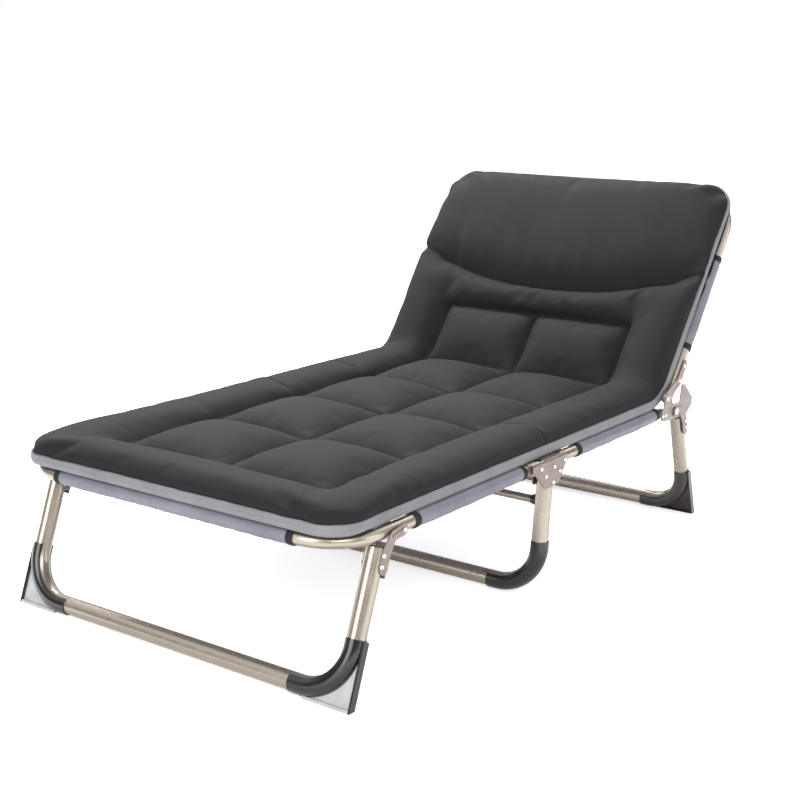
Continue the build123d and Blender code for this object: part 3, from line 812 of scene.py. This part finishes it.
tape = {
    # Section of the folded tape: distance out from the pad's edge, height over the deck
    "profile": [
        (-0.0008, -0.0003),
        (0.0014, 0.0002),
        (0.0030, 0.0030),
        (0.0038, 0.0075),
        (0.0034, 0.0112),
        (0.0025, 0.0122),
        (0.0034, 0.0134),
        (0.0029, 0.0164),
        (0.0012, 0.0184),
        (-0.0012, 0.0186),
    ],
    "step": 0.006,
    "cornerSteps": 24,
    "ease": 0.004,  # a straight run starts and ends this far from a corner
    "fineWave": (0.0005, 38.0),  # depth, and how many to the metre
    "slowWave": (0.0006, 9.0),
    "groove": 5,  # the point of the profile where the stitches lie
    "stitch": 0.0052,
    "stitchLength": 0.0036,
    "threadWidth": 0.0008,
    "threadLift": 0.0002,
}


def padRim(start, end):
    # The pad's edge on the flat cot: lists of (x, y, outward x, outward y)
    r, w, ease = pad["corner"], pad["side"], tape["ease"]
    low, high = skinFootY, skinHeadY
    path = []

    def straight(x0, y0, x1, y1, nx, ny):
        count = max(2, round(math.hypot(x1 - x0, y1 - y0) / tape["step"]))
        for i in range(count):
            path.append((x0 + (x1 - x0) * i / count, y0 + (y1 - y0) * i / count, nx, ny))

    def corner(cx, cy, a0, a1):
        for i in range(tape["cornerSteps"] + 1):
            a = math.radians(a0 + (a1 - a0) * i / tape["cornerSteps"])
            path.append((cx + r * math.cos(a), cy + r * math.sin(a), math.cos(a), math.sin(a)))

    if start <= low:
        straight(-w, end, -w, low + r, -1, 0)
        corner(-w + r, low + r, 180, 270)
        straight(-w + r + ease, low, w - r - ease, low, 0, -1)
        corner(w - r, low + r, 270, 360)
        straight(w, low + r + ease, w, end, 1, 0)
        path.append((w, end, 1, 0))
        return [path]
    if end >= high:
        straight(w, start, w, high - r, 1, 0)
        corner(w - r, high - r, 0, 90)
        straight(w - r - ease, high, -w + r + ease, high, 0, 1)
        corner(-w + r, high - r, 90, 180)
        straight(-w, high - r - ease, -w, start, -1, 0)
        path.append((-w, start, -1, 0))
        return [path]
    # The middle length has an edge on each side only
    straight(w, start, w, end, 1, 0)
    path.append((w, end, 1, 0))
    return [path, [(-x, y, -nx, ny) for x, y, nx, ny in reversed(path)]]


def tapePoint(x, y, nx, ny, out, up):
    # A sewn tape is never quite straight
    fine = tape["fineWave"][0] * ripple(x, y, 0, tape["fineWave"][1], 5.0)
    wave = fine + tape["slowWave"][0] * ripple(x, y, 0, tape["slowWave"][1], 2.0)
    if out > 0:
        out += wave
    return (x + nx * out, y + ny * out, padBottom + up + 0.6 * wave)


def tapePiece(name, start, end):
    # A closed band of tape along one length of the pad, capped at its ends
    points, faces = [], []
    count = len(tape["profile"])
    for path in padRim(start, end):
        first = len(points)
        for x, y, nx, ny in path:
            points += [tapePoint(x, y, nx, ny, out, up) for out, up in tape["profile"]]
        for i in range(len(path) - 1):
            for j in range(count):
                a, b = first + i * count, first + (i + 1) * count
                k = (j + 1) % count
                faces.append((a + j, a + k, b + k, b + j))
        faces.append(tuple(first + j for j in range(count)))
        faces.append(tuple(first + (len(path) - 1) * count + j for j in reversed(range(count))))
    piece = bentMesh(name, points, faces, finishes["binding_tape"])
    faceOut(piece)
    return piece


def buildStitchTree():
    # Lays short thread stitches along the edges of a line
    tree = bpy.data.node_groups.new("stitchLine", "GeometryNodeTree")
    face = tree.interface
    face.new_socket("Geometry", in_out="INPUT", socket_type="NodeSocketGeometry")
    for name, value in (("Pitch", 0.005), ("Length", 0.0036), ("Thickness", 0.0007)):
        face.new_socket(name, in_out="INPUT", socket_type="NodeSocketFloat").default_value = value
    face.new_socket("Thread", in_out="INPUT", socket_type="NodeSocketMaterial")
    face.new_socket("Geometry", in_out="OUTPUT", socket_type="NodeSocketGeometry")
    given = addNode(tree, "NodeGroupInput")
    line = addNode(tree, "GeometryNodeMeshToCurve", {"Mesh": given.outputs["Geometry"]})
    spacing = {"Curve": line.outputs[0], "Length": given.outputs["Pitch"]}
    spaced = addNode(tree, "GeometryNodeResampleCurve", spacing, mode="LENGTH")
    bead = addNode(tree, "GeometryNodeMeshUVSphere", {"Segments": 8, "Rings": 5, "Radius": 0.5})
    thick = given.outputs["Thickness"]
    sizes = {"X": given.outputs["Length"], "Y": thick, "Z": thick}
    size = addNode(tree, "ShaderNodeCombineXYZ", sizes)
    shaped = {"Geometry": bead.outputs["Mesh"], "Scale": size.outputs[0]}
    stitch = addNode(tree, "GeometryNodeTransform", shaped)
    along = addNode(tree, "GeometryNodeInputTangent")
    lying = {"Vector": along.outputs[0]}
    turn = addNode(tree, "FunctionNodeAlignRotationToVector", lying, axis="X")
    row = {"Points": spaced.outputs[0], "Instance": stitch.outputs[0], "Rotation": turn.outputs[0]}
    placed = addNode(tree, "GeometryNodeInstanceOnPoints", row)
    real = addNode(tree, "GeometryNodeRealizeInstances", {"Geometry": placed.outputs[0]})
    dye = {"Geometry": real.outputs[0], "Material": given.outputs["Thread"]}
    dyed = addNode(tree, "GeometryNodeSetMaterial", dye)
    addNode(tree, "NodeGroupOutput", {"Geometry": dyed.outputs[0]})
    return tree


stitchTree = buildStitchTree()


def stitchesAlong(name, lines, pitch, length, thickness, thread):
    # Lines are lists of places at rest; the result is one plain mesh
    points, edges = [], []
    for line in lines:
        first = len(points)
        points += line
        edges += [(first + i, first + i + 1) for i in range(len(line) - 1)]
    mesh = bpy.data.meshes.new(name)
    mesh.from_pydata(points, edges, [])
    guide = bpy.data.objects.new(name + "Guide", mesh)
    bpy.context.scene.collection.objects.link(guide)
    sewing = guide.modifiers.new("sewing", "NODES")
    sewing.node_group = stitchTree
    given = [item for item in stitchTree.interface.items_tree if item.in_out == "INPUT"]
    sockets = {item.name: item.identifier for item in given}
    sewing[sockets["Pitch"]] = pitch
    sewing[sockets["Length"]] = length
    sewing[sockets["Thickness"]] = thickness
    sewing[sockets["Thread"]] = thread
    guide.update_tag()
    bpy.context.view_layer.update()
    sewed = guide.evaluated_get(bpy.context.evaluated_depsgraph_get())
    made = bpy.data.meshes.new_from_object(sewed)
    made.name = name
    bpy.data.objects.remove(guide)
    made.shade_smooth()
    piece = bpy.data.objects.new(name, made)
    bpy.context.scene.collection.objects.link(piece)
    return piece


def tapeStitches(name, start, end):
    out, up = tape["profile"][tape["groove"]]
    out += tape["threadLift"]
    lines = []
    for path in padRim(start, end):
        lines.append([bendPoint(*tapePoint(*edge, out, up)) for edge in path])
    sizes = (tape["stitch"], tape["stitchLength"], tape["threadWidth"])
    return stitchesAlong(name, lines, *sizes, threadMaterial)


padLengths = {
    "foot": (padFootY, hingeSeamY),
    "seat": (hingeSeamY, midSeamY),
    "back": (midSeamY, padHeadY),
}
for part, (start, end) in padLengths.items():
    band = tapePiece(part + "Binding", start, end)
    sewn = tapeStitches(part + "BindingStitches", start, end)
    for piece in (band, sewn):
        followJoint(piece)
    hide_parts(part + "_pad_binding")
print("binding and stitches")


# Cloth slung between the rails

sling = {
    "thickness": 0.0013,
    "gap": 0.0014,  # between the deck cloth and the pad
    "sleeveInside": railRadius + 0.0003,
    "edge": 0.322,  # half the width where there is no sleeve
    "endHalf": 0.250,
    "footSleeve": (0.181, 0.490),  # distances from the foot rail
    "seatSleeve": (0.698, 1.009),
    "backSleeve": (1.189, 1.390),
    "overlap": 0.002,  # the deck is full width this far past a sleeve
    "cut": 0.0005,  # half the gap between the foot and the seat cloth
    "hang": 0.0030,
    "folds": (0.0012, 9.0),  # depth, and how many to the metre
    "pucker": 0.0014,
    "around": 40,
    "columns": 61,
    "step": 0.008,
    "cuff": 0.012,
}
sleeveWalls = (sling["sleeveInside"], sling["sleeveInside"] + sling["thickness"])
sleeves = [sling["footSleeve"], sling["seatSleeve"], sling["backSleeve"]]
headDistance = backRailEndY - footEndY


def deckHalf(d):
    # Half the width of the deck cloth at a distance from the foot rail
    def ease(start, end, low, high):
        return low + (high - low) * min(max((d - start) / (end - start), 0.0), 1.0)

    first, last = sleeves[0][0], sleeves[2][1]
    if d < first:
        return ease(0.0, first, sling["endHalf"], railX)
    if d > last:
        return ease(last, headDistance, railX, sling["endHalf"])
    lap = sling["overlap"]
    return railX if any(a - lap <= d <= b + lap for a, b in sleeves) else sling["edge"]


def deckSag(x, d, half):
    # Cloth between the rails hangs a little and creases towards its sleeves
    inside = smoothstep((half - abs(x)) / 0.06) * smoothstep(d / 0.03)
    inside *= smoothstep((headDistance - d) / 0.03)
    hang = sling["hang"] * inside * (1 - (x / half) ** 2)
    depth, count = sling["folds"]
    folds = depth * (1 + ripple(x * 0.5, d * 3.0, 0, count, 4.0)) * inside
    return -hang - folds


def deckShell(points, faces, start, end):
    # The deck cloth from one place to the next: an upper and a lower face, closed round the edge
    count = max(4, round((end - start) / sling["step"]))
    wide, first = sling["columns"], len(points)
    layers = []
    for below in (0.0, sling["thickness"]):
        layers.append(len(points))
        for i in range(count + 1):
            d = start + (end - start) * i / count
            half = deckHalf(d)
            for j in range(wide):
                x = half * (2 * j / (wide - 1) - 1)
                z = padBottom - sling["gap"] + deckSag(x, d, half) - below
                points.append((x, footEndY + d, z))
    faces += gridFaces(count + 1, wide, layers[0])
    faces += gridFaces(count + 1, wide, layers[1], True)
    rim = [i * wide + j for i, j in rimOf(count + 1, wide)]
    drop = layers[1] - first
    for a, b in zip(rim, rim[1:] + rim[:1]):
        faces.append((first + a, first + a + drop, first + b + drop, first + b))


def sleevePucker(a, along, seed):
    # Gathers round a sleeve; none on top, where the pad rests on it
    free = smoothstep((0.80 - math.sin(a)) / 0.5)
    fine = ripple(math.cos(a) * 0.05, along * 1.4, math.sin(a) * 0.05, 48.0, seed)
    slow = ripple(math.cos(a) * 0.03, along * 0.5, math.sin(a) * 0.03, 26.0, seed + 2)
    return sling["pucker"] * free * (0.45 + 0.6 * slow + 0.75 * fine)


def tubeShell(points, faces, centre, start, end, across, radii, shape, step):
    # A cloth tube round a rail, with an inner and an outer wall. across: it runs along x
    n, (inside, outside) = sling["around"], radii
    count = max(2, round((end - start) / step))
    walls = []
    for wall in (0, 1):
        walls.append(len(points))
        for i in range(count + 1):
            t = start + (end - start) * i / count
            for k in range(n):
                a = 2 * math.pi * k / n
                r = inside if wall == 0 else outside + shape(a, t, i / count)
                u, z = r * math.cos(a), railZ + r * math.sin(a)
                points.append((t, centre + u, z) if across else (centre + u, footEndY + t, z))
    for wall, first in enumerate(walls):
        for i in range(count):
            for k in range(n):
                a, b = first + i * n + k, first + i * n + (k + 1) % n
                face = (a, b, b + n, a + n)
                faces.append(face if (wall == 1) != across else face[::-1])
    for i in (0, count):
        for k in range(n):
            a, b = i * n + k, i * n + (k + 1) % n
            face = (walls[0] + a, walls[1] + a, walls[1] + b, walls[0] + b)
            faces.append(face if (i == 0) != across else face[::-1])


def sleeveShape(seed):
    def shape(a, t, share):
        tightEnds = min(1.0, 14 * min(share, 1 - share))
        return sleevePucker(a, t, seed) * tightEnds

    return shape


def sideSleeves(points, faces, span, seed):
    for side in (-1, 1):
        where = (side * railX, *span, False)
        shape = sleeveShape(seed + side)
        tubeShell(points, faces, *where, sleeveWalls, shape, sling["step"] / 2)


def endSleeve(points, faces, centreY, seed):
    where = (centreY, -sling["endHalf"], sling["endHalf"], True)
    tubeShell(points, faces, *where, sleeveWalls, sleeveShape(seed), sling["step"] / 2)


# Where each cloth starts and ends, its side sleeves, and where its end sleeve lies if it has one
hingeDistance, midDistance = hingeSeamY - footEndY, midSeamY - footEndY
slingParts = {
    "foot": (0.0, hingeDistance - sling["cut"], sleeves[0], footEndY),
    "seat": (hingeDistance + sling["cut"], midDistance, sleeves[1], None),
    "back": (midDistance, headDistance, sleeves[2], backRailEndY),
}
for part, (start, end, span, endY) in slingParts.items():
    points, faces = [], []
    deckShell(points, faces, start, end)
    sideSleeves(points, faces, span, 3.0 + 5 * start)
    if endY is not None:
        endSleeve(points, faces, endY, 11.0 + start)
    cloth = bentMesh(part + "SlingCloth", points, faces, finishes["sling_cloth"])
    faceOut(cloth)
    followJoint(cloth)
    # The cut size is the deck with its wraps round the rails
    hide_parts(part + "_sling")
print("slings")


# Ribbed elastic at the sleeve ends

cuff = {
    "ribs": 9,
    "ribDepth": 0.00035,
    "radii": (railRadius + 0.0001, railRadius + 0.0022),
    "tuck": 0.0006,  # how far its ends and its top, under the pad, are pressed in
    "step": 0.0004,
}


def cuffShape(a, t, share):
    rib = cuff["ribDepth"] * math.cos(2 * math.pi * cuff["ribs"] * share)
    top = smoothstep((math.sin(a) - 0.8) / 0.1)
    return rib - cuff["tuck"] * (abs(2 * share - 1) ** 6) - cuff["tuck"] * top


def cuffPiece(part, body, span, endY):
    points, faces = [], []
    wide, half = sling["cuff"], sling["endHalf"]
    places = []
    for low in (span[0] - wide, span[1]):
        places += [(side * railX, low, low + wide, False) for side in (-1, 1)]
    if endY is not None:
        places += [(endY, low, low + wide, True) for low in (-half - wide, half)]
    for where in places:
        tubeShell(points, faces, *where, cuff["radii"], cuffShape, cuff["step"])
    piece = bentMesh(part + "SleeveCuffs", points, faces, finishes["cuff_tape"])
    faceOut(piece)
    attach(piece, body)
    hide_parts(part + "_sleeve_cuffs")


cuffPiece("foot", "foot_section", sleeves[0], footEndY)
cuffPiece("seat", "seat_section", sleeves[1], None)
cuffPiece("back", "back_section", sleeves[2], backRailEndY)
print("cuffs")


# Floor, light and camera

studio = {
    "floor": "#ffffff",
    "floorSize": 60,
    "floorDrop": 0.0005,
    "floorGlow": 0.55,  # only what the eye sees directly, so reflections stay dark below
    # Brightness of the surroundings from straight down (0) to straight up (1)
    "sky": [(0.0, 0.10), (0.47, 0.10), (0.53, 0.24), (0.66, 0.16), (0.82, 1.1), (1.0, 0.45)],
    # Bright panels: which way they lie, and how bright
    "panels": [
        ((-0.165, -0.93, 0.33), 4.2),
        ((0.903, 0.43, 0.15), 2.0),
        ((-0.75, 0.3, 0.55), 2.0),
    ],
    "panelEdge": {"From Min": 0.91, "From Max": 0.98},  # cosines between which a panel fades
    "behind": 1.0,
    "aim": (0, 0, 0.25),
    "lamps": {
        "key": {"place": (-1.7, 0.9, 3.1), "size": 1.1, "power": 130.0},
        "fill": {"place": (2.6, -2.4, 2.2), "size": 2.4, "power": 50.0},
        "back": {"place": (-0.4, 3.4, 2.6), "size": 2.4, "power": 55.0},
    },
}

dropped = (0, 0, -studio["floorDrop"])
bpy.ops.mesh.primitive_plane_add(size=studio["floorSize"], location=dropped)
floor = bpy.context.object
floor.name = "studioFloor"
paper, paperTree, paperShader = newMaterial("matteBackdropPaper", studio["floor"], 0.9)
paperPlace = addNode(paperTree, "ShaderNodeTexCoord").outputs["Object"]
fibres = {"Vector": paperPlace, "Scale": 120.0, "Detail": 2.0}
grain = addNode(paperTree, "ShaderNodeTexNoise", fibres)
layRelief(paperTree, paperShader, [(grain.outputs["Fac"], 0.03, 0.001)])
paperShader.inputs["Emission Color"].default_value = hexColour(studio["floor"])
direct = addNode(paperTree, "ShaderNodeLightPath").outputs["Is Camera Ray"]
shares = {0: direct, 1: studio["floorGlow"]}
glowing = addNode(paperTree, "ShaderNodeMath", shares, operation="MULTIPLY")
paperTree.links.new(glowing.outputs[0], paperShader.inputs["Emission Strength"])
floor.data.materials.append(paper)

# Soft boxes of different brightness round the cot, so that the tubes show a streak; white behind
world = bpy.data.worlds.new("studioWorld")
world.use_nodes = True
sky = world.node_tree
direction = addNode(sky, "ShaderNodeTexCoord").outputs["Generated"]
height = addNode(sky, "ShaderNodeSeparateXYZ", {"Vector": direction}).outputs["Z"]
spread = addNode(sky, "ShaderNodeMapRange", {"Value": height, "From Min": -1.0, "From Max": 1.0})
ramp = addNode(sky, "ShaderNodeValToRGB", {"Fac": spread.outputs["Result"]})
for place, grey in studio["sky"][1:-1]:
    ramp.color_ramp.elements.new(place).color = (grey, grey, grey, 1)
for end in (0, -1):
    grey = studio["sky"][end][1]
    ramp.color_ramp.elements[end].color = (grey, grey, grey, 1)
glow = ramp.outputs["Color"]
for way, strength in studio["panels"]:
    ways = {0: direction, 1: way}
    facing = addNode(sky, "ShaderNodeVectorMath", ways, operation="DOT_PRODUCT").outputs["Value"]
    fade = {"Value": facing, **studio["panelEdge"], "To Max": strength}
    panel = addNode(sky, "ShaderNodeMapRange", fade, interpolation_type="SMOOTHSTEP")
    sums = {0: glow, 1: panel.outputs["Result"]}
    glow = addNode(sky, "ShaderNodeMath", sums, operation="ADD").outputs[0]
lit = sky.nodes["Background"]
lit.inputs["Color"].default_value = (1, 1, 1, 1)
sky.links.new(glow, lit.inputs["Strength"])
white = {"Color": (1, 1, 1, 1), "Strength": studio["behind"]}
plain = addNode(sky, "ShaderNodeBackground", white)
seen = addNode(sky, "ShaderNodeLightPath").outputs["Is Camera Ray"]
both = addNode(sky, "ShaderNodeMixShader", {0: seen, 1: lit.outputs[0], 2: plain.outputs[0]})
sky.links.new(both.outputs[0], sky.nodes["World Output"].inputs["Surface"])
bpy.context.scene.world = world
bpy.context.scene.view_settings.view_transform = "Standard"
aim = Vector(studio["aim"])
for name, spec in studio["lamps"].items():
    lamp = bpy.data.lights.new(name + "Light", "AREA")
    lamp.shape = "DISK"
    lamp.size = spec["size"]
    lamp.energy = spec["power"]
    holder = bpy.data.objects.new(name + "Light", lamp)
    bpy.context.scene.collection.objects.link(holder)
    holder.location = spec["place"]
    holder.rotation_euler = (aim - holder.location).to_track_quat("-Z", "Y").to_euler()

view = {
    "place": (1.5204, -2.1843, 0.9238),
    "azimuth": 35.62,
    "elevation": 13.34,
    "roll": 0.7,
    "lens": 62.28,
}
camera = bpy.data.cameras.new("camera")
camera.lens = view["lens"]
camera.sensor_width = 36
eye = bpy.data.objects.new("camera", camera)
bpy.context.scene.collection.objects.link(eye)
az, el = math.radians(view["azimuth"]), math.radians(view["elevation"])
backward = Vector((math.sin(az) * math.cos(el), -math.cos(az) * math.cos(el), math.sin(el)))
rightward = Vector((math.cos(az), math.sin(az), 0))
upward = backward.cross(rightward)
roll = Matrix.Rotation(math.radians(view["roll"]), 3, "Z")
turn = Matrix((rightward, upward, backward)).transposed() @ roll
eye.matrix_world = Matrix.Translation(view["place"]) @ turn.to_4x4()
bpy.context.scene.camera = eye

print("studio ready")
